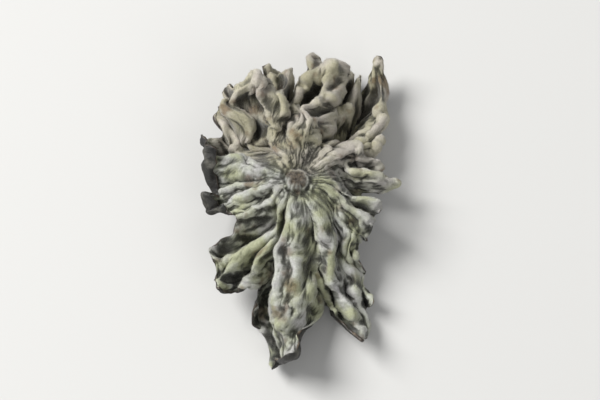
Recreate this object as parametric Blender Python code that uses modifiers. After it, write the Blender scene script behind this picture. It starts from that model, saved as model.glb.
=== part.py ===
"""A dried wood ear mushroom: one ear, lying on its curled margin with its downy back up.

An ear is a single sheet of tissue that spreads from the scar where it was cut from the wood. Here the sheet
starts as a square grid that is mapped to a disc round the scar. Each direction round the scar has its own
reach, fall and curl. Pleats run out from the scar and split on the way, as they do where the ear shrinks
round its firm stub, and bends and creases in space are laid over them. Where folds would then pass through
each other, the sheet is calmed until they lie side by side. The flesh is a Solidify modifier.
The scar is near the top, +Y is towards the tight lobes and -Y towards the long fan. The ear rests on z = 0,
with the middle of its box over the origin.
"""

import math

import bmesh
import bpy
import numpy as np
from mathutils import Euler, Vector, noise
from mathutils.bvhtree import BVHTree

MM = 0.001
NAME = "dried_wood_ear"

# Round the scar, anticlockwise from +X: direction in degrees, reach of the sheet in mm, fall of the sheet
# in degrees, curl of its margin in degrees (up and over when positive, under when negative), and how
# strongly drying has gathered it there.
LOBES = (
    (0, 19, 34, 40, 0.9),
    (25, 23, 42, -50, 1.1),
    (48, 30, 34, -60, 1.25),
    (68, 36, 24, -30, 1.2),
    (92, 32, 24, -70, 1.35),
    (118, 27, 24, -40, 1.4),
    (142, 23, 22, 70, 1.2),
    (165, 24, 20, 190, 0.6),
    (190, 25, 20, 200, 0.5),
    (212, 16, 44, 40, 0.8),
    (232, 32, 40, 120, 0.7),
    (246, 24, 46, 40, 0.8),
    (259, 39, 34, 60, 0.6),
    (270, 41, 28, 180, 0.55),
    (281, 27, 46, 30, 0.8),
    (294, 38, 34, 100, 0.6),
    (311, 23, 24, -60, 0.7),
    (330, 17, 30, 0, 0.8),
)
REACH, FALL, CURL, GATHER = 1, 2, 3, 4
CURL_WIDTH = 7.5 * MM  # how much of the margin curls
CURL_END = 1.02  # share of the reach at which the curl would be complete
FALL_END = 0.35  # share of the reach at which the sheet has its full fall
RAGGED = ((5, 0.10, 81), (14, 0.035, 82))  # the margin's notches: how many, how deep, and their seed

# Pleats, from the widest to the narrowest: fineness, steepness in degrees, the shares of the reach where
# they begin, are full and start to fade, how much of them is lost at the margin, and their seed.
PLEATS = (
    (1.7, 36, 0.03, 0.30, 0.35, 0.85, 315),
    (3.6, 38, 0.08, 0.35, 0.50, 0.75, 64),
    (7.5, 24, 0.30, 0.65, 0.70, 0.50, 307),
)
PLEAT_SHARPNESS = 0.012
PLEAT_DRIFT = 0.4  # how far a pleat of the widest kind changes from scar to margin
WANDER = 0.25  # how far the pleats stray sideways

# Moves of space that bend and crease the sheet: size, depth and seed.
BENDS = ((22 * MM, 4.8 * MM, 46), (9 * MM, 2.2 * MM, 386))
CREASES = ((8.0 * MM, 1.20 * MM, 78), (4.6 * MM, 0.38 * MM, 143))
CREASE_SHARPNESS = 0.02
FIRM = 0.4  # share of the reach, from the scar, that the stub keeps firm
FLATTENED = 0.8  # the height that is left after drying under its own weight

FLESH = 0.9 * MM  # thickness of the sheet
MARGIN = 0.7 * MM  # thickness at its edge
STUB = 2.2 * MM  # thickness under the scar
STUB_RISE = 1.2 * MM
STUB_RADIUS = 2.4 * MM

LEAN = (-2.0, -0.5)  # turns about X and Y, in degrees, that bring the three lowest lobes level
WORN_FLAT = 0.5 * MM  # how much of them was pressed flat by what the ear dried on

CELLS = 48  # grid cells along each side of the sheet
STEPS = 64  # steps from the scar to the margin, along each direction
CALM = 0.5  # how far each point is drawn to the middle of its neighbours, which evens out steep walls
PARTINGS = 20  # how often, at most, folds that would pass through each other are calmed further
DOWN_COLOUR = (0.30, 0.285, 0.215, 1)
DOWN_ROUGHNESS = 0.9


def ease(x, low, high):
    """0 below low, 1 above high, and smooth between them."""
    share = np.clip((x - low) / (high - low), 0, 1)
    return share * share * (3 - 2 * share)


def grain(points, seed):
    """Smooth noise, one number a point."""
    shift = Vector((13.7, 7.3, 3.1)) * seed
    return np.array([noise.noise(Vector(point) + shift) for point in points])


def drift(points, seed):
    """Smooth noise, one vector a point."""
    return np.stack([grain(points, seed + share) for share in (0, 0.3, 0.6)], 1)


def crease(x, softness):
    """0 along a sharp line wherever x changes sign, and about 1 half way between such lines."""
    return np.minimum(2.6 * (np.sqrt(x * x + softness * softness) - softness), 1.3)


def disc(count):
    """Maps a square grid of points to a disc: each point's share of the way out, and its direction."""
    line = np.linspace(-1, 1, count)
    x, y = np.meshgrid(line, line)
    sideways = np.abs(x) > np.abs(y)
    out = np.where(sideways, np.abs(x), np.abs(y))
    turn = np.where(sideways, y, x) / np.where(out > 0, out, 1) * math.pi / 4
    right_or_left = np.where(x > 0, turn, math.pi - turn)
    up_or_down = np.where(y > 0, math.pi / 2 - turn, turn - math.pi / 2)
    return out.ravel(), np.where(sideways, right_or_left, up_or_down).ravel() % (2 * math.pi)


def lobe(angle, column):
    """The table's value in each direction, on a smooth closed curve through its rows."""
    rows = np.array(LOBES, float)
    place, value = np.radians(rows[:, 0]), rows[:, column]
    row = np.searchsorted(place, angle, side="right") - 1
    following = np.append(place, 2 * math.pi + place[0])[row + 1]
    t = (angle - place[row]) / (following - place[row])
    a, b, c, d = (value[(row + step) % len(value)] for step in (-1, 0, 1, 2))
    return b + t * (c - a + t * (2 * a - 5 * b + 4 * c - d + t * (3 * b - a - 3 * c + d))) / 2


def pleats(out, angle, ring, up):
    """Each kind of pleat: how far it tilts the sheet at each point, and where along the reach it acts."""
    along = ring * 1.5 + np.outer(1.5 * out, up)
    stray = WANDER * np.stack([grain(along, 61), grain(along, 62), 0 * out], 1)
    folds = []
    for kind, (fineness, steepness, *where, seed) in enumerate(PLEATS, 1):
        place = (ring + stray) * fineness + np.outer(kind * PLEAT_DRIFT * out, up)
        tilt = 0.5 - crease(grain(place, seed), PLEAT_SHARPNESS)
        folds.append((np.radians(steepness) * lobe(angle, GATHER) * tilt, where))
    return folds


def spread(out, angle, ring, up):
    """Runs the sheet out from the scar, adding up its tilt on the way to each point."""
    ragged = 1 + sum(depth * grain(count * ring, seed) for count, depth, seed in RAGGED)
    reach = lobe(angle, REACH) * MM * ragged
    fall, curl = np.radians(lobe(angle, FALL)), np.radians(lobe(angle, CURL))
    folds = pleats(out, angle, ring, up)
    across, height = np.zeros_like(out), np.zeros_like(out)
    for step in range(STEPS):
        here = out * (step + 0.5) / STEPS
        tilt = curl * ease(here, 1 - CURL_WIDTH / reach, CURL_END) - fall * ease(here, 0, FALL_END)
        for steepness, (begin, full, fade, lost) in folds:
            tilt += steepness * ease(here, begin, full) * (1 - lost * ease(here, fade, 1))
        across += np.cos(tilt)
        height += np.sin(tilt)
    stride = reach * out / STEPS
    return ring * (across * stride)[:, None] + np.outer(height * stride, up)


def creased(points, size, depth, seed):
    """Moves along three downward directions, with a sharp crest wherever each one's noise changes sign."""
    moves = np.zeros_like(points)
    for k in range(3):
        way = Vector(np.random.default_rng(10 * seed + k).normal(size=3)).normalized()
        if way.z > 0:
            way.negate()
        moves += np.outer(depth * crease(grain(points / size, seed + 17 * k), CREASE_SHARPNESS), way)
    return moves


def sheet(out, angle):
    """The middle of the sheet, for each share of the way out and each direction round the scar."""
    ring = np.stack([np.cos(angle), np.sin(angle), 0 * angle], 1)
    up = np.array([0.0, 0.0, 1.0])
    points = spread(out, angle, ring, up)
    loose = (ease(out, 0, FIRM) * lobe(angle, GATHER))[:, None]
    for size, depth, seed in BENDS:
        points += loose * depth * drift(points / size, seed)
    for size, depth, seed in CREASES:
        points += loose * creased(points, size, depth, seed)
    points[:, 2] *= FLATTENED
    way = out * lobe(angle, REACH) * MM
    points[:, 2] += STUB_RISE * (1 - ease(way, 0.3 * STUB_RADIUS, STUB_RADIUS))
    return points


def calmed(field, share):
    """The values of the sheet's grid, each drawn by a share of the way to the middle of its neighbours."""
    grid = field.reshape(CELLS + 1, CELLS + 1, -1)
    edge = np.pad(grid, ((1, 1), (1, 1), (0, 0)), mode="edge")
    around = (edge[2:, 1:-1] + edge[:-2, 1:-1] + edge[1:-1, 2:] + edge[1:-1, :-2]) / 4
    return (grid + share * (around - grid)).reshape(field.shape)


def parted(points, faces):
    """The sheet, calmed further wherever it would pass through itself, until it no longer does."""
    for _ in range(PARTINGS):
        tree = BVHTree.FromPolygons(points.tolist(), faces)
        meeting = [pair for pair in tree.overlap(tree) if not set(faces[pair[0]]) & set(faces[pair[1]])]
        if not meeting:
            break
        near = np.zeros(len(points))
        near[[corner for pair in meeting for face in pair for corner in faces[face]]] = 1
        points = calmed(points, calmed(near, 1).reshape(CELLS + 1, CELLS + 1, 1))
    return points


def thickness(out, angle):
    """The flesh is thick under the scar and thin at the margin."""
    way = out * lobe(angle, REACH) * MM
    flesh = FLESH + (STUB - FLESH) * (1 - ease(way, 0.3 * STUB_RADIUS, 1.4 * STUB_RADIUS))
    return flesh + (MARGIN - FLESH) * ease(out, 0.8, 1)


def grow():
    """The sheet as an open surface, calmed, parted, cut into facets along its folds and given its flesh."""
    mesh = bpy.data.meshes.new(NAME)
    grid = bmesh.new()
    bmesh.ops.create_grid(grid, x_segments=CELLS, y_segments=CELLS, size=1)
    grid.to_mesh(mesh)
    grid.free()
    out, angle = disc(CELLS + 1)
    faces = [tuple(face.vertices) for face in mesh.polygons]
    points = parted(calmed(sheet(out, angle), CALM), faces)
    mesh.vertices.foreach_set("co", points.ravel())
    ear = bpy.data.objects.new(NAME, mesh)
    flesh = ear.vertex_groups.new(name="flesh")
    for index, depth in enumerate(thickness(out, angle)):
        flesh.add([index], depth / STUB, "REPLACE")
    facets = ear.modifiers.new("facets", "TRIANGULATE")
    facets.quad_method = "SHORTEST_DIAGONAL"
    solid = ear.modifiers.new("flesh", "SOLIDIFY")
    solid.thickness = STUB
    solid.offset = 0
    solid.vertex_group = flesh.name
    return ear


def lay_down(mesh):
    """Turns the ear on to its three lowest lobes, wears them flat, and centres it over the origin."""
    mesh.transform(Euler([math.radians(turn) for turn in (*LEAN, 0)]).to_matrix().to_4x4())
    body = bmesh.new()
    body.from_mesh(mesh)
    floor = min(point.co.z for point in body.verts) + WORN_FLAT
    everything = body.verts[:] + body.edges[:] + body.faces[:]
    cut = bmesh.ops.bisect_plane(
        body, geom=everything, dist=0.0001 * MM, plane_co=(0, 0, floor), plane_no=(0, 0, 1), clear_inner=True
    )
    rims = [piece for piece in cut["geom_cut"] if isinstance(piece, bmesh.types.BMEdge)]
    bmesh.ops.holes_fill(body, edges=rims)
    places = np.array([point.co for point in body.verts])
    middle = (places.min(0) + places.max(0)) / 2
    bmesh.ops.translate(body, verts=body.verts, vec=(-middle[0], -middle[1], -floor))
    body.to_mesh(mesh)
    body.free()


def felt():
    """The pale, downy skin of the back."""
    material = bpy.data.materials.new("downy skin")
    material.use_nodes = True
    skin = material.node_tree.nodes["Principled BSDF"]
    skin.inputs["Base Color"].default_value = DOWN_COLOUR
    skin.inputs["Roughness"].default_value = DOWN_ROUGHNESS
    skin.inputs["Metallic"].default_value = 0
    return material


def main():
    for thing in list(bpy.data.objects):
        bpy.data.objects.remove(thing)
    collection = bpy.data.collections.new(NAME)
    bpy.context.scene.collection.children.link(collection)
    growing = grow()
    collection.objects.link(growing)
    view = bpy.context.evaluated_depsgraph_get()
    mesh = bpy.data.meshes.new_from_object(growing.evaluated_get(view))
    bpy.data.objects.remove(growing)
    lay_down(mesh)
    mesh.materials.append(felt())
    ear = bpy.data.objects.new(NAME, mesh)
    collection.objects.link(ear)
    return ear


if __name__ == "__main__":
    main()
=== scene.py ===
# %% [markdown]
# # A dried wood ear mushroom
#
# A wood ear is a thin, rubbery fungus that grows on dead wood. Its back wears a short pale down. Its
# inner side, where the spores form, is bare and nearly black. Drying shrinks the soft sheet round its
# firm stub, so it gathers into pleats, crumples and goes leathery. This lesson dresses one dried ear:
# first its shape, then its skins, then its down. It lies back up, with the long fan towards the camera.
# A plain solid of the same ear is loaded first. It gives the place and the size that all else keeps to.

import math

import bmesh
import bpy
import numpy as np
from mathutils import Euler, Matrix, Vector, noise
from mathutils.bvhtree import BVHTree


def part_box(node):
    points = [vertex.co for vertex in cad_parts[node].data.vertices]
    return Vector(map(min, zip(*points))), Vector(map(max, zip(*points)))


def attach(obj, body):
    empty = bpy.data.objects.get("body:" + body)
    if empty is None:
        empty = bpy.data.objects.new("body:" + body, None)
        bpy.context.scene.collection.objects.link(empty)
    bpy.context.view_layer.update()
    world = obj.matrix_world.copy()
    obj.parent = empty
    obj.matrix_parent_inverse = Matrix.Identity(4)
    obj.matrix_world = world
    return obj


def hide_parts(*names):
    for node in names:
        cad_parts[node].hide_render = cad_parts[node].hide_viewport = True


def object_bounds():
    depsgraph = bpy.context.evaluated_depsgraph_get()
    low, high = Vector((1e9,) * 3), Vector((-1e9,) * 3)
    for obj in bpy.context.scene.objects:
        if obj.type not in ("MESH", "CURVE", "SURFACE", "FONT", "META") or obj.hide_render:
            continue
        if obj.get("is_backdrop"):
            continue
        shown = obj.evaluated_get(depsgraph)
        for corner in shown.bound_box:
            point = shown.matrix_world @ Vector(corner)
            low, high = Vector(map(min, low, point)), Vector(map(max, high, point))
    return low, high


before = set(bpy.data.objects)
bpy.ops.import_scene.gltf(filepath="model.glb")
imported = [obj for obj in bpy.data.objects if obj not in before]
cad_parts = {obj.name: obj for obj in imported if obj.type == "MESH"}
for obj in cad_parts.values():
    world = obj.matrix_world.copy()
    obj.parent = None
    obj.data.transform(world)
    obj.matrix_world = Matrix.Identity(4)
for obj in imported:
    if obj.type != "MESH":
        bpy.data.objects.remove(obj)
frame_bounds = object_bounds()

MM = 0.001  # all lengths here are in metres, as in the frame
EAR = "dried_wood_ear"
low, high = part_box(EAR)
middle = (low + high) / 2
print("the frame holds", *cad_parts)
print("the ear's box is", [round(side / MM, 1) for side in high - low], "mm")

# %% [markdown]
# ## Noise, the one tool of this shape
#
# Nothing on an ear repeats, but everything on it has a size: pleats of a few millimetres, creases of one.
# A sculptor would press them in one by one. Noise at a known size draws them all, and in code it can be
# folded, turned along the growth and added up before there is a mesh. `ease` is a smooth step, `grain`
# gives one smooth number for each point, and `drift` gives a smooth sideways push. `crease` folds a smooth
# number into sharp valleys with round hills between them, and `crests` turns that upside down.

# %% Noise helpers
SEED_STEP = Vector((13.7, 7.3, 3.1))  # how far apart in the endless noise two seeds look
CREASE_SLOPE = 2.6  # lifts the hills between two valleys to about 1
CREASE_TOP = 1.3  # and no hill is higher than this


def ease(x, begin, end):
    """0 below begin, 1 above end, and smooth between them."""
    share = np.clip((x - begin) / (end - begin), 0, 1)
    return share * share * (3 - 2 * share)


def grain(points, seed):
    """Smooth noise, one number a point."""
    shift = SEED_STEP * seed
    return np.array([noise.noise(Vector(point) + shift) for point in points])


def drift(points, seed):
    """Smooth noise, one vector a point, from three seeds that lie close together."""
    return np.stack([grain(points, seed + further) for further in (0, 0.3, 0.6)], 1)


def crease(x, softness):
    """0 along a sharp line wherever x changes sign, and about 1 half way between such lines."""
    return np.minimum(CREASE_SLOPE * (np.sqrt(x * x + softness * softness) - softness), CREASE_TOP)


def crests(points, seed, softness):
    """0.5 along sharp crests, and about -0.5 in the round hollows between them."""
    return 0.5 - crease(grain(points, seed), softness)


sample = grain(np.linspace(0, 50, 500)[:, None] * np.ones(3), 1)
print("the noise runs from", sample.min().round(2), "to", sample.max().round(2))

# %% [markdown]
# ## The lobes
#
# Seen from the scar, where it was torn from the wood, the ear reaches a different way out in each
# direction. It also falls away from the scar, and its margin curls over or under. A sculptor would pull
# these lobes out by hand. A table says the same in a form that can be read and changed, and a smooth
# closed curve through its rows fills in the directions between them. The rows are those of the plain
# solid that this ear replaces, so the two have the same lobes.

# %% The table of lobes
# Direction in degrees, anticlockwise from +X; reach in mm; fall in degrees; curl in degrees, up and over
# when positive, under when negative; and how strongly drying has gathered the sheet there.
LOBES = (
    (0, 19, 34, 40, 0.9),
    (25, 23, 42, -50, 1.1),
    (48, 30, 34, -60, 1.25),
    (68, 36, 24, -30, 1.2),
    (92, 32, 24, -70, 1.35),
    (118, 27, 24, -40, 1.4),
    (142, 23, 22, 70, 1.2),
    (165, 24, 20, 190, 0.6),
    (190, 25, 20, 200, 0.5),
    (212, 16, 44, 40, 0.8),
    (232, 32, 40, 120, 0.7),
    (246, 24, 46, 40, 0.8),
    (259, 39, 34, 60, 0.6),
    (270, 41, 28, 180, 0.55),
    (281, 27, 46, 30, 0.8),
    (294, 38, 34, 100, 0.6),
    (311, 23, 24, -60, 0.7),
    (330, 17, 30, 0, 0.8),
)
REACH, FALL, CURL, GATHER = 1, 2, 3, 4  # the columns after the direction


def lobe(angle, column):
    """The table's value in each direction, on a smooth closed curve through its rows."""
    rows = np.array(LOBES, float)
    place, value = np.radians(rows[:, 0]), rows[:, column]
    row = np.searchsorted(place, angle, side="right") - 1
    following = np.append(place, 2 * math.pi + place[0])[row + 1]
    t = (angle - place[row]) / (following - place[row])
    a, b, c, d = (value[(row + step) % len(value)] for step in (-1, 0, 1, 2))
    return b + t * (c - a + t * (2 * a - 5 * b + 4 * c - d + t * (3 * b - a - 3 * c + d))) / 2


reaches = lobe(np.radians(np.arange(360)), REACH)
print("the lobes reach", reaches.min().round(1), "to", reaches.max().round(1), "mm")

# %% [markdown]
# ## A square sheet made round
#
# The ear is one sheet, so it starts as one square grid of points. A disc made of rings and spokes would
# crowd its points at the scar and spread them at the margin. Bending the square's rings into circles
# keeps them even, and leaves plain rows and columns, which make smoothing and measuring simple later on.

# %% The grid as a disc
CELLS = 220  # cells along each side of the grid


def disc(count):
    """Maps a square grid of points to a disc: each point's share of the way out, and its direction."""
    line = np.linspace(-1, 1, count)
    x, y = np.meshgrid(line, line)
    sideways = np.abs(x) > np.abs(y)
    out = np.where(sideways, np.abs(x), np.abs(y))
    turn = np.where(sideways, y, x) / np.where(out > 0, out, 1) * math.pi / 4
    right_or_left = np.where(x > 0, turn, math.pi - turn)
    up_or_down = np.where(y > 0, math.pi / 2 - turn, turn - math.pi / 2)
    return out.ravel(), np.where(sideways, right_or_left, up_or_down).ravel() % (2 * math.pi)


out, angle = disc(CELLS + 1)
ring = np.stack([np.cos(angle), np.sin(angle), 0 * angle], 1)
up = np.array([0.0, 0.0, 1.0])
print(len(out), "points in the sheet")

# %% [markdown]
# ## Pleats
#
# The soft sheet shrinks more than its stub, so it gathers like cloth on a drawstring: wide folds leave
# the scar and split into narrower ones on the way out. A cloth simulation could gather it too, but slowly
# at this fineness, and not where the lobes need it. Here each kind of pleat tilts the sheet up or down as
# it runs outwards, by a creased noise that depends on the direction round the scar. The ear's height is
# the sum of that tilt, so folds begin at nothing on the stub and deepen outwards, as gathered folds do.

# %% Pleats
# From the widest to the narrowest: fineness; steepness in degrees; the shares of the reach where they
# begin, are full and start to fade; how much of them is lost at the margin; and their seed.
PLEATS = (
    (1.7, 36, 0.03, 0.30, 0.35, 0.85, 315),
    (3.6, 38, 0.08, 0.35, 0.50, 0.75, 64),
    (7.5, 24, 0.30, 0.65, 0.70, 0.50, 307),
)
PLEAT_SHARPNESS = 0.012  # smaller is sharper
PLEAT_DRIFT = 0.4  # how far a pleat of the widest kind changes from scar to margin
WANDER = 0.25  # how far the pleats stray sideways
WANDER_FINENESS = 1.5  # and how soon they turn back
WANDER_SEEDS = (61, 62)


def pleats():
    """Each kind of pleat: how far it tilts the sheet at each point, and where along the reach it acts."""
    along = ring * WANDER_FINENESS + np.outer(WANDER_FINENESS * out, up)
    stray = WANDER * np.stack([*(grain(along, seed) for seed in WANDER_SEEDS), 0 * out], 1)
    folds = []
    for kind, (fineness, steepness, *where, seed) in enumerate(PLEATS, 1):
        place = (ring + stray) * fineness + np.outer(kind * PLEAT_DRIFT * out, up)
        tilt = crests(place, seed, PLEAT_SHARPNESS)
        folds.append((np.radians(steepness) * lobe(angle, GATHER) * tilt, where))
    return folds


folds = pleats()
steepest = np.degrees(np.abs(folds[0][0]).max()).round()
print(len(folds), "kinds of pleat, the widest up to", steepest, "degrees steep")

# %% [markdown]
# ## Running the sheet out
#
# This is a walk from the scar to the margin in small steps, in every direction at once. At each step the
# sheet's tilt is its fall, its pleats and, near the margin, its curl. Adding up the steps gives a sheet
# that is as long as the table says however it folds. A flat disc that is pushed up and down instead, as a
# Displace modifier does it, would stretch wherever it is steep.

# %% The sheet
STEPS = 64
CURL_WIDTH = 7.5 * MM  # how much of the margin curls
CURL_END = 1.02  # share of the reach at which the curl would be complete
FALL_END = 0.35  # share of the reach at which the sheet has its full fall
RAGGED = ((5, 0.10, 81), (14, 0.035, 82))  # the margin's notches: fineness, depth and seed

reach = lobe(angle, REACH) * MM
reach *= 1 + sum(depth * grain(fineness * ring, seed) for fineness, depth, seed in RAGGED)
fall = np.radians(lobe(angle, FALL))
curl = np.radians(lobe(angle, CURL))
across = np.zeros_like(out)
height = np.zeros_like(out)
for step in range(STEPS):
    here = out * (step + 0.5) / STEPS
    tilt = curl * ease(here, 1 - CURL_WIDTH / reach, CURL_END) - fall * ease(here, 0, FALL_END)
    for steepness, (begin, full, fade, lost) in folds:
        tilt += steepness * ease(here, begin, full) * (1 - lost * ease(here, fade, 1))
    across += np.cos(tilt)
    height += np.sin(tilt)
stride = reach * out / STEPS
points = ring * (across * stride)[:, None] + np.outer(height * stride, up)
print("the pleated sheet is", np.round(np.ptp(points, 0) / MM, 1), "mm")

# %% [markdown]
# ## Bends and creases
#
# An ear that dries loose in the air also bends and crumples as a whole. Pushing each fold by hand could
# make the sheet pass through itself. Bending the space that it lies in does so far less, as long as the
# push changes slowly from place to place, so all of these are moves of space: smooth ones, and ones with
# sharp creases. The stub stays firm and stands up a little, and the drying ear sinks under its own weight.

# %% Bends and creases
BENDS = ((22 * MM, 4.8 * MM, 46), (9 * MM, 2.2 * MM, 386))  # size, depth and seed
CREASES = ((8.0 * MM, 1.20 * MM, 78), (4.6 * MM, 0.38 * MM, 143))  # the same, for the sharp ones
CREASE_SHARPNESS = 0.02
CREASE_WAYS = 3  # each kind of crease pushes in this many directions
FIRM = 0.4  # share of the reach, from the scar, that the stub keeps firm
FLATTENED = 0.8  # the share of its height that is left after drying under its own weight
STUB_RISE = 1.2 * MM
STUB_RADIUS = 2.4 * MM
STUB_TOP = 0.3 * STUB_RADIUS  # radius of its level middle


def creased(points, size, depth, seed):
    """Moves along some downward directions, with a sharp crest wherever each one's noise changes sign."""
    moves = np.zeros_like(points)
    for k in range(CREASE_WAYS):
        draw = np.random.default_rng(10 * seed + k)  # each direction and noise has a seed of its own
        way = Vector(draw.normal(size=3)).normalized()
        if way.z > 0:
            way.negate()
        fold = crease(grain(points / size, seed + 17 * k), CREASE_SHARPNESS)
        moves += np.outer(depth * fold, way)
    return moves


loose = (ease(out, 0, FIRM) * lobe(angle, GATHER))[:, None]
for size, depth, seed in BENDS:
    points += loose * depth * drift(points / size, seed)
for size, depth, seed in CREASES:
    points += loose * creased(points, size, depth, seed)
points[:, 2] *= FLATTENED
way_out = out * lobe(angle, REACH) * MM
points[:, 2] += STUB_RISE * (1 - ease(way_out, STUB_TOP, STUB_RADIUS))
print("the crumpled sheet is", np.round(np.ptp(points, 0) / MM, 1), "mm")

# %% [markdown]
# ## Calming
#
# Where a fold is steep, the grid's rows climb it in small steps. Drawing each point towards the middle of
# its neighbours a few times evens them out, as the Smooth modifier does. It is done here in code because
# the next steps need the calmed points, and on a square grid it is four shifted copies of the grid added.

# %% Calming
CALM_ROUNDS = 3


def calmed(field, rounds):
    """Each point of the grid drawn half way to its neighbours' middle, some times over."""
    grid = field.reshape(CELLS + 1, CELLS + 1, -1)
    for _ in range(rounds):
        edge = np.pad(grid, ((1, 1), (1, 1), (0, 0)), mode="edge")
        around = (edge[2:, 1:-1] + edge[:-2, 1:-1] + edge[1:-1, 2:] + edge[1:-1, :-2]) / 4
        grid = (grid + around) / 2
    return grid.reshape(field.shape)


points = calmed(points, CALM_ROUNDS)
print("the calmed sheet is", np.round(np.ptp(points, 0) / MM, 1), "mm")

# %% [markdown]
# ## Where drying wrinkles the skin
#
# Between its folds the sheet wrinkles again, like the skin of a dried fruit. First come three facts about
# each point. `growth` is the way it grew: its direction, as a place on a circle, and above that circle how
# far out it is. Noise that is drawn out along that height makes ridges that run from the scar to the
# margin. `gathered` says how deep the wrinkles are: narrow and shallow near the scar, where they crowd
# together, and wider and deeper on the way out. `crumpled` is 1 on the lobes that drying gathered most and
# 0 on the loose fan. Weights painted by hand could say the same, but these are worked out from the table,
# so they follow it when it changes.

# %% Facts about each point
SPOKE = 30  # mm, the circle's radius: about the mean reach, where the wrinkles have their stated width
SUPPLE = (0.4 * STUB_RADIUS, 2.0 * STUB_RADIUS)  # where the firm stub ends, and where the skin is free
DEEPENING = 2  # growing evenly on the way out, the depth would be this many times the stated one at SPOKE
DEPTHS = (0.4, 1.5)  # but it stays between these
CRUMPLING = (0.7, 1.3)  # the gathering at which a lobe starts to crumple, and is all crumpled

growth = ring * SPOKE + np.outer(way_out / MM, up)
soft = ease(way_out, *SUPPLE)
gathered = soft * lobe(angle, GATHER) * np.clip(DEEPENING * way_out / (SPOKE * MM), *DEPTHS)
crumpled = ease(lobe(angle, GATHER), *CRUMPLING)
print(round(100 * crumpled.mean()), "% of the sheet is crumpled")

# %% [markdown]
# ## Wrinkles
#
# A bump map would be less work, but these are coarse enough to catch the light and to break the outline,
# so they are moved points. The noise is turned so that its sharp lines stand up and its hollows are round,
# as they are on a skin that shrank. Smaller creases cross the wrinkles, and a last calming rounds off what
# is finer than the flesh is thick.

# %% Wrinkles
# Millimetres across, how many times longer along the growth, millimetres deep, and the seed.
LONG_WRINKLES = ((3.4, 2.2, 0.50, 31), (1.8, 2.0, 0.25, 34))  # where the sheet is loose, as in the fan
CRUMPLES = ((2.8, 2.4, 0.55, 32), (1.5, 2.2, 0.24, 33))  # where drying has gathered it
SMALL_CREASES = ((2.4 * MM, 0.20 * MM, 24), (1.4 * MM, 0.08 * MM, 26))
STRAYING = 0.3  # how far wrinkles stray from straight, as a share of their size
STRAY_SIZE = 2  # and how soon they turn back, in the same shares
NORMAL_ROUNDS = 4  # calming rounds on a copy of the sheet, before its directions are taken
LAST_ROUNDS = 1  # and on the sheet itself, when its wrinkles are on it
TINY = 1e-12  # a length that is as good as none


def ridges(across, longer, seed):
    """About 0.5 along the sharp crests of wrinkles, and -0.5 in the hollows between them."""
    stray = STRAYING * drift(points / (STRAY_SIZE * across * MM), seed)
    return crests(growth / (across, across, across * longer) + stray, seed, CREASE_SHARPNESS)


def relief(wrinkles):
    """How far some kinds of wrinkle raise or sink each point."""
    kinds = [depth * MM * ridges(across, longer, seed) for across, longer, depth, seed in wrinkles]
    return gathered * sum(kinds)


def unit(vectors):
    """The same directions, each with a length of 1."""
    return vectors / np.maximum(np.linalg.norm(vectors, axis=1), TINY)[:, None]


def normals_of(field):
    """The upward normal at each point of the grid."""
    grid = field.reshape(CELLS + 1, CELLS + 1, 3)
    return unit(np.cross(np.gradient(grid, axis=1), np.gradient(grid, axis=0)).reshape(-1, 3))


folded = (1 - crumpled) * relief(LONG_WRINKLES) + crumpled * relief(CRUMPLES)
points += normals_of(calmed(points, NORMAL_ROUNDS)) * folded[:, None]
for size, depth, seed in SMALL_CREASES:
    points += soft[:, None] * creased(points, size, depth, seed)
points = calmed(points, LAST_ROUNDS)
print("wrinkles rise to", round(folded.max() / MM, 2), "and sink to", round(folded.min() / MM, 2), "mm")

# %% [markdown]
# ## Parting
#
# The tightest folds would now pass through each other, which flesh can't do: it presses together side by
# side. A cloth simulation with self-collision could push them apart, in many minutes. Here a search tree
# lists the cells of the sheet that meet, and only the sheet round them is calmed further, round after
# round, until nearly all the folds have parted. The sheet has no thickness yet. Once it has, pressed folds
# overlap again by part of it, and only parting them by the flesh's full thickness would mend that.

# %% Parting
PARTINGS = 40  # how often, at most, folds that meet are calmed further
PARTING_CALM = 6  # how much each time, and how far round them
PARTING_SPREAD = 3  # how fully that acts on the points round them

corners = np.arange(len(out)).reshape(CELLS + 1, CELLS + 1)
cells = np.stack([corners[:-1, :-1], corners[:-1, 1:], corners[1:, 1:], corners[1:, :-1]], -1)
cells = cells.reshape(-1, 4)


def tree_of(skin):
    """A search tree of the cells of a skin."""
    return BVHTree.FromPolygons(skin.tolist(), cells.tolist())


def meetings(tree, other):
    """The corners of each two cells that pass through each other."""
    return cells[np.array(tree.overlap(other), int).reshape(-1, 2)]


def marked(met):
    """1 at the corners of some cells, and 0 at all other points."""
    marks = np.zeros(len(out))
    marks[met] = 1
    return marks


def spread(marks):
    """The marks, fading softly into the points round them."""
    return np.minimum(PARTING_SPREAD * calmed(marks, PARTING_CALM), 1)[:, None]


def folds_that_meet():
    """Marks the cells of the sheet that meet cells which aren't their neighbours."""
    tree = tree_of(points)
    met = meetings(tree, tree)
    neighbours = (met[:, 0, :, None] == met[:, 1, None, :]).any((1, 2))
    return marked(met[~neighbours])


for _ in range(PARTINGS):
    marks = folds_that_meet()
    if not marks.any():
        break
    points += spread(marks) * (calmed(points, PARTING_CALM) - points)
print(int(folds_that_meet().sum()), "points still meet")

# %% [markdown]
# ## Laying down
#
# The ear turns on to its three lowest lobes, as it lies on a table, and moves to where the plain solid
# lies, so that both fill the same box. What would reach below the table was pressed flat on it while the
# ear dried. Cutting it off at the table would leave a hard edge. A power of the height bends it up
# instead: it gives the lowest point no height and leaves the sheet smooth above.

# %% Laying down
LEAN = (-2.0, -0.5)  # turns about X and Y, in degrees, that bring the three lowest lobes level
SKIN = 0.5 * MM  # how far the skins stand away from the middle of the sheet
SOLE = 0.25 * MM  # how high its middle lies where it is pressed flat
PRESSED = 4.0 * MM  # the height up to which the table has pressed it up

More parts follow.
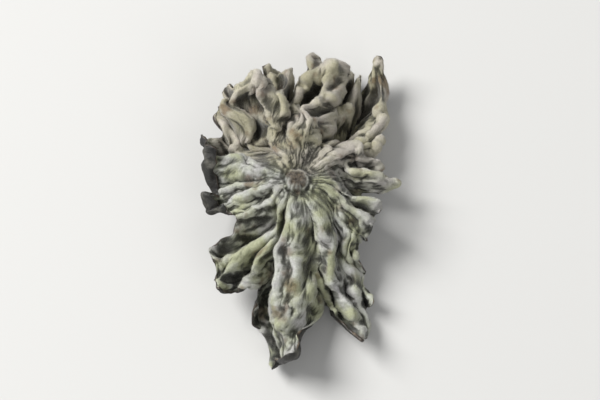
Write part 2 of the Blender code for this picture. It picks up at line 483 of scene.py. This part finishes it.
points = points @ np.array(Euler([math.radians(degrees) for degrees in (*LEAN, 0)]).to_matrix()).T
room = np.array(high - low) - 2 * SKIN
points *= (*(room / np.ptp(points, 0))[:2], 1)
points += (middle.x, middle.y, 0) - (points.max(0) + points.min(0)) / 2 * (1, 1, 0)
points[:, 2] += high.z - SKIN - points[:, 2].max()
rise = points[:, 2] - low.z - SOLE
below = -rise.min()
share = np.minimum(rise + below, PRESSED + below) / (PRESSED + below)
pressed = PRESSED * share ** (1 + below / PRESSED)
points[:, 2] = low.z + SOLE + np.where(rise < PRESSED, pressed, rise)
print("the table pressed it up by", round(below / MM, 1), "mm at its lowest point")
print("it lies from", np.round(points.min(0) / MM, 1), "to", np.round(points.max(0) / MM, 1), "mm")

# %% [markdown]
# ## From sheet to ear
#
# The flesh is thick under the scar and thin at the margin. Moving a copy of the sheet and sewing the edges
# together would make it, and Solidify does just that: the downy skin on one side, the bare skin on the
# other and the torn edge between them. It takes a material for each from the list, and the depth from a
# vertex group. It adds the second skin's points after the first's, in the same order, so each skin is
# still the same square grid.

# %% From sheet to ear
FLESH = 0.7 * MM  # without the crests, which the next step draws on it
MARGIN = 0.34 * MM
STUB = 2.2 * MM
THICK = (STUB_TOP, 1.4 * STUB_RADIUS)  # where the stub starts to thin, and where it is down to the flesh
# The flesh thins to the margin in two stages: the share of each, and the shares of the reach between
# which it happens.
TAPER = ((0.4, 0.75, 0.97), (0.6, 0.97, 1))
SKINS = ("downy back", "dried jelly", "gristle")  # the back, the inner side and the torn margin


def thickness():
    """The flesh is thick under the scar and thins to a soft edge at the margin."""
    flesh = FLESH + (STUB - FLESH) * (1 - ease(way_out, *THICK))
    return flesh + (MARGIN - FLESH) * sum(share * ease(out, begin, end) for share, begin, end in TAPER)


def grow_ear():
    """The sheet as a mesh, filled out to its thickness."""
    mesh = bpy.data.meshes.new("ear")
    grid = bmesh.new()
    bmesh.ops.create_grid(grid, x_segments=CELLS, y_segments=CELLS, size=1)
    grid.to_mesh(mesh)
    grid.free()
    mesh.vertices.foreach_set("co", points.ravel())
    ear = bpy.data.objects.new("ear", mesh)
    bpy.context.scene.collection.objects.link(ear)
    flesh = ear.vertex_groups.new(name="flesh")
    for index, depth in enumerate(thickness()):
        flesh.add([index], depth / STUB, "REPLACE")
    for skin in SKINS:
        mesh.materials.append(bpy.data.materials.new(skin))
    solid = ear.modifiers.new("flesh", "SOLIDIFY")
    solid.thickness = STUB
    solid.offset = 0
    solid.vertex_group = "flesh"
    solid.material_offset = 1
    solid.material_offset_rim = 2
    ear.data = bpy.data.meshes.new_from_object(ear.evaluated_get(bpy.context.evaluated_depsgraph_get()))
    ear.modifiers.clear()
    ear.data.shade_smooth()
    return ear


ear = grow_ear()
places = np.zeros(3 * len(ear.data.vertices))
ear.data.vertices.foreach_get("co", places)
back, inner = places.reshape(2, -1, 3)  # both are views, so moving them moves the places
print("the ear has", sum(len(face.vertices) - 2 for face in ear.data.polygons), "triangles")

# %% [markdown]
# ## Two skins
#
# Solidify rounds every ridge of the sheet off to its own thickness. A dried skin is drawn sharp there, so
# the back gets its crests again, and only its crests, because a hollow cut twice would come through the
# flesh. Each skin also has finer wrinkles of its own, a millimetre or two apart. The back's are twice as
# deep on the loose fan, which has few others, and the inner skin's run straighter. In the tightest folds
# one skin would come through the other, so there both draw closer to the middle of the sheet, as squeezed
# flesh does. Making the whole sheet thinner would do it too, but the ear would look like paper.

# %% Two skins
SHARPENED = 1.0  # how much of a ridge's height its crest gets again
# Millimetres across, how many times longer along the growth, millimetres deep, and the seed.
BACK_WRINKLES = ((1.5, 1.8, 0.14, 35), (0.9, 1.6, 0.08, 36))
INNER_WRINKLES = ((2.0, 2.5, 0.12, 44), (1.0, 2.0, 0.07, 46))
ON_THE_FAN = 2  # how many times deeper the back's wrinkles are on the fan
THINNINGS = 5  # how often the flesh is thinned where one skin would come through the other
THINNED = 0.4  # the share of its thickness that it loses there each time

normals = normals_of(calmed(points, NORMAL_ROUNDS))
deeper = ON_THE_FAN - (ON_THE_FAN - 1) * crumpled
back += normals * (SHARPENED * np.maximum(folded, 0) + deeper * relief(BACK_WRINKLES))[:, None]
inner += normals * relief(INNER_WRINKLES)[:, None]
for _ in range(THINNINGS):
    met = meetings(tree_of(back), tree_of(inner))
    closer = THINNED * spread(marked(met))
    back += closer * (points - back)
    inner += closer * (points - inner)
print(len(met), "pairs of cells still met through the flesh before the last thinning")

# %% [markdown]
# ## The stub and its scar
#
# The stub is knobbly, and the scar in it is a shallow, rough dimple, where the ear was torn from the wood.
# It could be a piece of its own, but on the real ear the skin runs on into it, so it is dented into the
# back. Noise in its radius gives it a torn edge. The finished ear then fills the solid's height exactly.

# %% The stub and its scar
KNOB_SIZE = 1.6 * MM
KNOB_HEIGHT = 0.28 * MM
KNOB_SEED = 52
KNOBBLY = (STUB_RADIUS, 2 * STUB_RADIUS)  # the knobs are full up to here, and end here
SCAR_RADIUS = 1.25 * MM
SCAR_EDGE = (0.6 * SCAR_RADIUS, 1.3 * SCAR_RADIUS)  # where the dimple starts to rise, and ends
SCAR_DEPTH = 0.45 * MM
TEAR = 0.9  # how unevenly its edge is torn
TEAR_SIZE = 2.2 * MM
TEAR_SEED = 51
FIBRE_HEIGHT = 0.25 * MM
FIBRE_SIZE = 0.7 * MM
FIBRE_SEED = 27

stub = 1 - ease(way_out, *KNOBBLY)
back[:, 2] += KNOB_HEIGHT * stub * creased(back, KNOB_SIZE, 1.0, KNOB_SEED)[:, 2]
torn = way_out * (1 + TEAR * grain(back / TEAR_SIZE, TEAR_SEED))
scar = 1 - ease(torn, *SCAR_EDGE)
back[:, 2] += scar * (FIBRE_HEIGHT * grain(back / FIBRE_SIZE, FIBRE_SEED) - SCAR_DEPTH)
places[2::3] = np.maximum(places[2::3] + high.z - back[:, 2].max(), low.z)
ear.data.vertices.foreach_set("co", places)
print("the back lies from", np.round(back.min(0) / MM, 1), "to", np.round(back.max(0) / MM, 1), "mm")

# %% [markdown]
# ## Crests and hollows
#
# The down is rubbed pale on the crests and stays dusty in the hollows. Its colour also holds painted
# shade, dark in the hollows, and a painted highlight, pale on the crests. The shader's own measure of
# that, Pointiness, changes with the fineness of the mesh and can't be set to a width. So the shape tells
# the material: each point is compared with a calmed copy of the skin, and how far it stands out of that
# copy is kept on the point. The scar, how crumpled the lobe is and the way it grew are kept in the same
# way, for colours that follow them.

# %% Crests and hollows
# Narrow, wider and wide crests: calming rounds, how far they stand out, and their share of the whole.
CRESTS = ((6, 0.05 * MM, 0.42), (24, 0.14 * MM, 0.34), (110, 0.50 * MM, 0.24))
CLEARLY = 0.25  # what counts as a crest or a hollow in the share that is printed


def keep(mesh, name, values):
    """Keeps one number or one vector on each point of a mesh."""
    kind, field = ("FLOAT", "value") if values.ndim == 1 else ("FLOAT_VECTOR", "vector")
    mesh.attributes.new(name, kind, "POINT").data.foreach_set(field, values.ravel())


back_normals = normals_of(calmed(back, NORMAL_ROUNDS))
crest = np.zeros_like(out)
for rounds, stands_out, share in CRESTS:
    above = ((back - calmed(back, rounds)) * back_normals).sum(1)
    crest += share * np.clip(above / stands_out, -1, 1)
for name, values in (("crest", crest), ("scar", scar), ("crumpled", crumpled), ("growth", growth)):
    keep(ear.data, name, np.concatenate([values, values]))  # once for each skin
print("crests cover", round(100 * (crest > CLEARLY).mean()), "% of the back")
print("hollows cover", round(100 * (crest < -CLEARLY).mean()), "%")

# %% [markdown]
# ## Colours and nodes
#
# Two small tools serve every material here. Colours are written as the hex values that a colour picker
# shows, and turned to the linear values that light adds up in. `add` places one node, sets or links its
# inputs by name and hands back its output, so that a material reads as a list of what it is made of.
# Wiring nodes by hand in the Shader Editor gives the same graph, but this can be read from top to bottom.

# %% Material helpers


def linear(hex_colour):
    """An sRGB hex colour as linear RGBA."""
    channels = [int(hex_colour[k : k + 2], 16) / 255 for k in (1, 3, 5)]
    return (*(c / 12.92 if c <= 0.04045 else ((c + 0.055) / 1.055) ** 2.4 for c in channels), 1)


def add(tree, kind, output=None, stops=(), settings=None, **inputs):
    """One node: its settings, its colour stops and its inputs by name, and the output it hands back."""
    node = tree.nodes.new("ShaderNode" + kind)
    for name, value in (settings or {}).items():
        setattr(node, name, value)
    for index, (place, colour) in enumerate(stops):
        ends = node.color_ramp.elements
        stop = ends[index] if index < len(ends) else ends.new(place)
        stop.position, stop.color = place, linear(colour)
    for name, given in inputs.items():
        wanted = name.replace("_", " ")
        sockets = [socket for socket in node.inputs if socket.enabled and socket.name == wanted]
        for socket, value in zip(sockets, given if isinstance(given, list) else [given]):
            if isinstance(value, bpy.types.NodeSocket):
                tree.links.new(value, socket)
            else:
                socket.default_value = linear(value) if isinstance(value, str) else value
    return next(socket for socket in node.outputs if socket.enabled and output in (None, socket.name))


def surface(name, roughness, **settings):
    """A material with one Principled shader, and that shader."""
    material = bpy.data.materials.get(name) or bpy.data.materials.new(name)
    material.use_nodes = True
    shader = material.node_tree.nodes["Principled BSDF"]
    shader.inputs["Roughness"].default_value = roughness
    for socket, value in settings.items():
        shader.inputs[socket.replace("_", " ")].default_value = value
    return material, shader


print("mid grey is", [round(c, 3) for c in linear("#808080")])

# %% [markdown]
# ## Patterns at their real size
#
# An image of fungus skin would stretch over the folds and show its own light. So each pattern on the ear
# is noise at a size measured in millimetres. `speckle` is even in every direction. `streaks` uses the
# growth that the sheet kept, which knows no folds, so its lines run from the scar to the margin over all
# of them, as the lines of growth do.

# %% Patterns
MULTIPLY_COLOUR = {"data_type": "RGBA", "blend_type": "MULTIPLY"}
MIX_COLOUR = {"data_type": "RGBA"}
MULTIPLY_ADD = {"operation": "MULTIPLY_ADD"}  # the first value times the second, plus the third


def speckle(tree, size, detail=2.0, roughness=0.5):
    """Noise from 0 to 1 whose patches are a size in mm across."""
    place = add(tree, "TexCoord", "Object")
    return add(tree, "TexNoise", Vector=place, Scale=1 / (size * MM), Detail=detail, Roughness=roughness)


def streaks(tree, width, length, detail=3.0):
    """Noise from 0 to 1 drawn out along the growth of the ear, in mm across and along."""
    flat = add(tree, "Attribute", "Vector", settings={"attribute_name": "growth"})
    place = add(tree, "Mapping", Vector=flat, Scale=(1 / width, 1 / width, 1 / length))
    return add(tree, "TexNoise", Vector=place, Scale=1.0, Detail=detail)


print("speckle and streaks are the two patterns")

# %% [markdown]
# ## The colour of the felt
#
# What the eye calls grey felt is a brown skin under a coat of short, colourless hairs. The coat is rubbed
# pale on the crests and clots with dust in the hollows. One colour ramp from hollow to crest carries most of
# the look, and it also holds painted shade, dark in the hollows, and a painted highlight, pale on the
# crests. Noise of a few millimetres adds lavender grey, olive and brown patches, growth lines add long
# streaks, and the crumpled lobes are a little more tan than the fan, as their brown skin shows more. The
# scar shows old wood. Painting these on an image could follow one photo more closely, but only from one
# side. Real tufts of hair are about a tenth of a millimetre apart, finer than a pixel here, so the grain
# that stands for them is drawn three times as coarse.

# %% The colour of the felt
TUFT = 0.33  # mm between tufts, three times as coarse as real ones
TUFT_GRIT = 0.65  # how strong the finest part of that grain is
STREAK = (1.1, 12.0)  # mm across and along a growth line
# How much crests, plain ground, tufts and streaks lighten the felt, on the ramp from hollow to crest. The
# crests' share is partly real wear and partly painted shade and painted highlight.
RUBBED_AND_SHADED = (0.36, 0.20, 0.30, 0.36)
# from hollow to crest: the felt's own colour, with painted shade in the hollows and a painted highlight on the
# crests
FELT_AND_SHADE = ((0.18, "#393933"), (0.42, "#52534c"), (0.62, "#6f7067"), (0.86, "#a9aaa0"), (1.0, "#c6c7bf"))
OLIVE = ((0.36, "#efe9f8"), (0.45, "#ffffff"), (0.60, "#dcdfa6"))  # lavender grey, no and olive patches
OLIVE_PATCH = 6.0  # mm across
PATCHED = (0.62, 0.38)  # how strong those patches are on the fan and on the crumpled lobes
BROWN = ((0.30, "#9a7d62"), (0.42, "#ffffff"))  # where the skin under the down shows through
BROWN_PATCH = 0.7 * OLIVE_PATCH
BROWNED = 0.7  # how strongly it shows
TAN = "#fff5ed"  # what the crumpled lobes are tinted with
OLD_WOOD = ((0.38, "#2c251f"), (0.66, "#6e6353"))  # torn fibres at the scar
OLD_WOOD_FIBRE = 0.5  # mm across
STREAK_RELIEF = 0.8  # how much growth lines stand out beside the tufts


def felt(tree):
    """The colour of the down and of the skin under it, with painted shade and highlight, and its tufts and
    streaks.
    """
    facts = ("crest", "crumpled", "scar")
    kept = [add(tree, "Attribute", "Fac", settings={"attribute_name": fact}) for fact in facts]
    on_crests, on_lobes, on_scar = kept
    tufts = speckle(tree, TUFT, roughness=TUFT_GRIT)
    lines = streaks(tree, *STREAK)
    by_crest, ground, by_tuft, by_streak = RUBBED_AND_SHADED
    # painted shade in the hollows and a painted highlight on the crests, as well as real wear and dust
    rubbed_and_shaded = add(tree, "Math", settings=MULTIPLY_ADD, Value=[on_crests, by_crest, ground])
    rubbed_and_shaded = add(tree, "Math", settings=MULTIPLY_ADD, Value=[tufts, by_tuft, rubbed_and_shaded])
    rubbed_and_shaded = add(tree, "Math", settings=MULTIPLY_ADD, Value=[lines, by_streak, rubbed_and_shaded])
    colour = add(tree, "ValToRGB", stops=FELT_AND_SHADE, Fac=rubbed_and_shaded)
    olive = add(tree, "ValToRGB", stops=OLIVE, Fac=speckle(tree, OLIVE_PATCH, detail=3.0))
    patched = add(tree, "MapRange", Value=on_lobes, To_Min=PATCHED[0], To_Max=PATCHED[1])
    colour = add(tree, "Mix", settings=MULTIPLY_COLOUR, Factor=patched, A=colour, B=olive)
    brown = add(tree, "ValToRGB", stops=BROWN, Fac=speckle(tree, BROWN_PATCH))
    colour = add(tree, "Mix", settings=MULTIPLY_COLOUR, Factor=BROWNED, A=colour, B=brown)
    colour = add(tree, "Mix", settings=MULTIPLY_COLOUR, Factor=on_lobes, A=colour, B=TAN)
    fibres = speckle(tree, OLD_WOOD_FIBRE, detail=4.0, roughness=0.7)
    wood = add(tree, "ValToRGB", stops=OLD_WOOD, Fac=fibres)
    colour = add(tree, "Mix", settings=MIX_COLOUR, Factor=on_scar, A=colour, B=wood)
    return colour, add(tree, "Math", settings=MULTIPLY_ADD, Value=[lines, STREAK_RELIEF, tufts])


print("the felt runs from", FELT_AND_SHADE[0][1], "in the hollows to", FELT_AND_SHADE[-1][1], "on the crests")

# %% [markdown]
# ## The downy back
#
# Felt has no gloss: it is as rough as a surface can be, with little of the mirror light that a smooth skin
# has. A little sheen lights it where it turns away, as hairs do that are seen edge on. The tufts and lines
# of the colour also raise the skin by a fifth of a millimetre, as a bump, because that is too fine for the
# mesh.

# %% Downy back
DOWN_ROUGHNESS = 0.95
DOWN_SHEEN = 0.3
DOWN_SPECULAR = 0.2  # hairs scatter most of what a smooth skin would mirror
BUMP = 0.2 * MM  # height of the tufts here, and of the veins on the inner side
DOWN_BUMP = 0.9  # how strongly it shows


def downy_back():
    """The skin under the down, which shows between the hairs."""
    material, shader = surface(
        SKINS[0], DOWN_ROUGHNESS, Sheen_Weight=DOWN_SHEEN, Specular_IOR_Level=DOWN_SPECULAR
    )
    tree = material.node_tree
    colour, tufts = felt(tree)
    tree.links.new(colour, shader.inputs["Base Color"])
    raised = add(tree, "Bump", Height=tufts, Strength=DOWN_BUMP, Distance=BUMP)
    tree.links.new(raised, shader.inputs["Normal"])
    return material


print("finished:", downy_back().name)

# %% [markdown]
# ## The bare inner side
#
# The side that bore the spores is smooth, hard jelly. Dry, it is nearly black with a hint of brown, and has
# a low gloss like waxed leather. It is a kind of sugar glass, whose IOR is close to Blender's own 1.5. Fine
# veins wrinkle it, and spores and dust leave a thin grey bloom on it, which is rougher than the skin. The
# bloom could be a second shader laid over the first, but it is so thin that one noise which drives both
# the colour and the gloss looks the same.

# %% Inner side
JELLY = ((0.36, "#1b1917"), (0.52, "#2b2a26"), (0.70, "#57554d"))  # bare to bloomed
JELLY_GLOSS = (0.42, 0.72)  # roughness of bare jelly and of bloom
BLOOM = 3.5  # mm across a patch of bloom
BLOOMED = (0.35, 0.7)  # the noise where bloom starts, and is full
VEIN = (0.8, 5.0)  # mm across and along a fine wrinkle of the inner skin
# painted shade: darker between the raised veins, and none on them
VEIN_SHADE = ((0.3, "#5b5a52"), (0.6, "#ffffff"))  # between the veins and on them
VEINED = 0.5  # how strongly that shade shows
PORE = 0.45  # mm between the finest dents
PORES = 0.7  # how deep they are beside the veins
JELLY_BUMP = 0.8


def inner_side():
    """Dried jelly with its veins and its bloom."""
    material, shader = surface(SKINS[1], JELLY_GLOSS[0])
    tree = material.node_tree
    bloom = speckle(tree, BLOOM, detail=5.0, roughness=0.62)
    veins = streaks(tree, *VEIN)
    skin = add(tree, "ValToRGB", stops=JELLY, Fac=bloom)
    # painted shade where the veins' bump sinks
    shade = add(tree, "ValToRGB", stops=VEIN_SHADE, Fac=veins)
    skin = add(tree, "Mix", settings=MULTIPLY_COLOUR, Factor=VEINED, A=skin, B=shade)
    tree.links.new(skin, shader.inputs["Base Color"])
    gloss = add(
        tree, "MapRange", Value=bloom, From_Min=BLOOMED[0], From_Max=BLOOMED[1],
        To_Min=JELLY_GLOSS[0], To_Max=JELLY_GLOSS[1],
    )
    tree.links.new(gloss, shader.inputs["Roughness"])
    pores = speckle(tree, PORE, detail=3.0)
    dents = add(tree, "Math", settings=MULTIPLY_ADD, Value=[pores, PORES, veins])
    raised = add(tree, "Bump", Height=dents, Strength=JELLY_BUMP, Distance=BUMP)
    tree.links.new(raised, shader.inputs["Normal"])
    return material


print("finished:", inner_side().name)

# %% [markdown]
# ## The margin
#
# Between the two skins the flesh shows as a thin line: dried gristle, brown and a little glassy, like the
# edge of a dried peel. It could share the inner side's black, but the real edge is paler where it wore. It
# is the third material of the ear, for the rim that Solidify makes.

# %% Margin
GRISTLE = ((0.35, "#211c19"), (0.60, "#4a4036"), (0.80, "#857763"))  # whole to worn
GRISTLE_ROUGHNESS = 0.45
GRISTLE_PATCH = 1.4  # mm across a worn place


def torn_margin():
    """Dried gristle, worn paler in places."""
    material, shader = surface(SKINS[2], GRISTLE_ROUGHNESS)
    tree = material.node_tree
    worn = add(tree, "ValToRGB", stops=GRISTLE, Fac=speckle(tree, GRISTLE_PATCH, detail=3.0))
    tree.links.new(worn, shader.inputs["Base Color"])
    return material


print("finished:", torn_margin().name)

# %% [markdown]
# ## The down
#
# A bump map can't break the outline, and the soft edge of the down is what tells felt from clay. Blender's
# hair would do it, but hair is no mesh, and this ear has to be one. So each hair is a closed spike of
# four triangles. Real ones are a hundredth of a millimetre thick. These are over three times that and
# fewer, so that each still shows a little and the meshes stay small. They are sown evenly over the skin:
# a cell of the grid is drawn by its area, and then a place in it.

# %% Sowing the hairs
HAIR_WIDTH = 0.036 * MM
THIRDS = (0, 2.094, 4.189)  # a hair's foot is a triangle: its corners, in radians round the hair
SPIKE = ((0, 1, 3), (1, 2, 3), (2, 0, 3), (0, 2, 1))  # three sides up to the tip, and the closed foot


def sown(fields, count, rng):
    """The values of some fields of the back at random places, evenly spread over its skin."""
    grid = fields.reshape(CELLS + 1, CELLS + 1, -1)
    corner, right, above, across = grid[:-1, :-1], grid[:-1, 1:], grid[1:, :-1], grid[1:, 1:]
    area = np.linalg.norm(np.cross((right - corner)[..., :3], (above - corner)[..., :3]), axis=2).ravel()
    cell = np.divmod(rng.choice(area.size, count, p=area / area.sum()), CELLS)
    u, v = rng.random((2, count, 1))
    near = (1 - u) * corner[cell] + u * right[cell]
    return (1 - v) * near + v * ((1 - u) * above[cell] + u * across[cell])


def spikes(name, root, way, length, rng):
    """A mesh of closed spikes, one for each root, that stay above the table."""
    side = unit(np.cross(way, rng.normal(size=way.shape)))
    third = np.cross(way, side)
    foot = [root + HAIR_WIDTH / 2 * (math.cos(t) * side + math.sin(t) * third) for t in THIRDS]
    places = np.stack([*foot, root + way * length[:, None]], 1).reshape(-1, 3)
    places[:, 2] = np.maximum(places[:, 2], low.z)
    faces = (4 * np.arange(len(root))[:, None, None] + SPIKE).reshape(-1, 3)
    mesh = bpy.data.meshes.new(name)
    mesh.vertices.add(len(places))
    mesh.vertices.foreach_set("co", places.ravel())
    mesh.loops.add(faces.size)
    mesh.loops.foreach_set("vertex_index", faces.ravel().astype(np.int32))
    mesh.polygons.add(len(faces))
    mesh.polygons.foreach_set("loop_start", np.arange(0, faces.size, 3, dtype=np.int32))
    mesh.update(calc_edges=True)
    return mesh


print("a hair is", HAIR_WIDTH / MM, "mm thick and has", len(SPIKE), "triangles")

# %% [markdown]
# ## Two coats
#
# One coat of equal hairs looks like velvet. The real down is a dense undercoat, and longer hairs that lean
# outwards over it, as hairs do that dried flat on the skin. Each leans a little its own way, and they are
# rubbed short on the scar. A hair keeps the facts of the place where it stands, and how near its tip each
# of its points is, so that it can take the colour of the felt there.

# %% Two coats
# For each coat: its number of hairs, their least and greatest length, how far they lie outwards, a seed.
COATS = {
    "undercoat": (49000, (0.12 * MM, 0.26 * MM), 0.5, 7),
    "long_down": (49000, (0.24 * MM, 0.48 * MM), 1.1, 8),
}
TANGLED = 0.5  # how far each hair leans its own way
LIFTED = 0.25  # how steeply each one stands off the skin at least: 0 is flat, 1 is upright
SHORTER = 0.8  # the share of their length that hairs lose on the scar


def combed(root, normal, matted, rng):
    """The direction of each hair: off the skin, outwards along it, and a little its own way."""
    outwards = root - back[out.argmin()]
    outwards = unit(outwards - normal * (outwards * normal).sum(1)[:, None])
    way = unit(normal + matted * outwards + TANGLED * rng.normal(size=root.shape))
    return unit(way + normal * np.maximum(LIFTED - (way * normal).sum(1), 0)[:, None])


def coat(name, count, lengths, matted, seed):
    """A coat of hairs on the back, as one mesh that keeps the facts of the skin under each of them."""
    rng = np.random.default_rng(seed)
    fields = sown(np.column_stack([back, back_normals, crest, scar, crumpled, growth]), count, rng)
    root, normal, facts = fields[:, :3], unit(fields[:, 3:6]), fields[:, 6:]
    way = combed(root, normal, matted, rng)
    length = rng.uniform(*lengths, count) * (1 - SHORTER * facts[:, 1])
    mesh = spikes(name, root, way, length, rng)
    facts = np.repeat(facts, 4, axis=0)  # a hair has four points
    for column, fact in enumerate(("crest", "scar", "crumpled")):
        keep(mesh, fact, facts[:, column])
    keep(mesh, "tip", np.tile((0, 0, 0, 1.0), count))
    keep(mesh, "growth", facts[:, 3:])
    return mesh


coats = []
for name, facts in COATS.items():
    piece = bpy.data.objects.new(name, coat(name, *facts))
    bpy.context.scene.collection.objects.link(piece)
    coats.append(piece)
    print("the", name, "has", len(piece.data.polygons), "triangles")

# %% [markdown]
# ## The hairs' finish
#
# A hair is a clear thread, as rough to the eye as the felt that many of them make. A hair shader would be
# the true one for a strand, but it is made for Blender's hair. So these spikes get the felt's own finish
# and colour, mixed with a pale one: nearly all felt at the foot, and over half pale at the tip. The pale
# is painted light: it stands for the light that shines through a clear hair, and lifts the shade that the
# spikes cast on each other.

# %% Down hair
# painted light: the pale that stands for light shining through the hairs and lifts their own shade
PALE_LIT = "#d8d5c8"
PALE_LIT_SHARE = (0.12, 0.57)  # how much of a hair's colour is its own, at its foot and at its tip


def hair():
    """The material of both coats."""
    material, shader = surface("down hair", DOWN_ROUGHNESS, Specular_IOR_Level=DOWN_SPECULAR)
    tree = material.node_tree
    tip = add(tree, "Attribute", "Fac", settings={"attribute_name": "tip"})
    # painted light, paler towards the tip
    pale_lit = add(tree, "MapRange", Value=tip, To_Min=PALE_LIT_SHARE[0], To_Max=PALE_LIT_SHARE[1])
    colour = add(tree, "Mix", settings=MIX_COLOUR, Factor=pale_lit, A=felt(tree)[0], B=PALE_LIT)
    tree.links.new(colour, shader.inputs["Base Color"])
    return material


down_hair = hair()
for piece in coats:
    piece.data.materials.append(down_hair)
print("finished:", down_hair.name)

# %% [markdown]
# ## Floor and light
#
# The ear lies on a plain pale floor. One large soft light from the upper left gives every fold a lit side
# and a shaded side, a weaker one opens the shadows, and a pale sky fills the rest. A photo of a real room
# round the scene would light it too, but its reflections would bring that room in. The Standard view shows
# each colour as it was picked, where Blender's usual view would grey it.

# %% Floor and light
FLOOR_SIZE = 3.0
PAPER = "#cecdca"
PAPER_ROUGHNESS = 0.85
KEY = ((-0.90, 0.36, 1.02), 27.0, 0.70)  # place, watts, side of its square
FILL = ((0.90, -1.20, 1.05), 7.0, 1.00)
SKY = "#f2f4f6"
SKY_STRENGTH = 0.38

floor_mesh = bpy.data.meshes.new("floor")
slab = bmesh.new()
bmesh.ops.create_grid(slab, x_segments=1, y_segments=1, size=FLOOR_SIZE / 2)
slab.to_mesh(floor_mesh)
slab.free()
floor = bpy.data.objects.new("floor", floor_mesh)
bpy.context.scene.collection.objects.link(floor)
floor_mesh.materials.append(surface("matt paper", PAPER_ROUGHNESS, Base_Color=linear(PAPER))[0])
floor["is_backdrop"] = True


def aimed(name, data, place, target):
    """A lamp or a camera at a place, turned to look at its target."""
    thing = bpy.data.objects.new(name, data)
    bpy.context.scene.collection.objects.link(thing)
    thing.location = place
    thing.rotation_euler = (Vector(target) - Vector(place)).to_track_quat("-Z", "Y").to_euler()
    return thing


for name, (place, watts, side) in (("key", KEY), ("fill", FILL)):
    lamp = bpy.data.lights.new(name, "AREA")
    lamp.energy = watts
    lamp.size = side
    aimed(name, lamp, place, middle)

bpy.context.scene.view_settings.view_transform = "Standard"
sky = bpy.data.worlds.new("sky")
bpy.context.scene.world = sky
sky.use_nodes = True
sky.node_tree.nodes["Background"].inputs["Color"].default_value = linear(SKY)
sky.node_tree.nodes["Background"].inputs["Strength"].default_value = SKY_STRENGTH
print("the key light is", round(KEY[1] / FILL[1], 1), "times as strong as the fill")

# %% [markdown]
# ## The camera
#
# It looks down on the ear from the fan's side, as the photo sees the ear's back. A short lens close by
# would draw the nearer fan too large, so this one is long and stands back.

# %% The camera
LENS = 85  # mm
CAMERA_RISE = 68  # degrees above the floor
CAMERA_DISTANCE = 0.285
NEAREST = 0.01  # the camera sees nothing that is closer than this

lens = bpy.data.cameras.new("camera")
lens.lens = LENS
lens.clip_start = NEAREST
elevation = math.radians(CAMERA_RISE)
eye = middle + CAMERA_DISTANCE * Vector((0, -math.cos(elevation), math.sin(elevation)))
bpy.context.scene.camera = aimed("camera", lens, eye, middle)
print("the camera stands", round(eye.z, 3), "m over the floor")

# %% [markdown]
# ## Handing the ear to the frame
#
# All three pieces, the ear and its two coats, ride on the one body and stand for the plain solid, which
# stays behind for collision. Joining them in one mesh would do too, but apart they can be looked at or
# swapped one by one.

# %% Into the frame
for piece in (ear, *coats):
    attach(piece, "root")
    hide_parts(EAR)

size = {"frame": [list(corner) for corner in frame_bounds], "visual": [list(corner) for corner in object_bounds()]}
print("the dressed ear is", [round((b - a) / MM, 1) for a, b in zip(*size["visual"])], "mm")
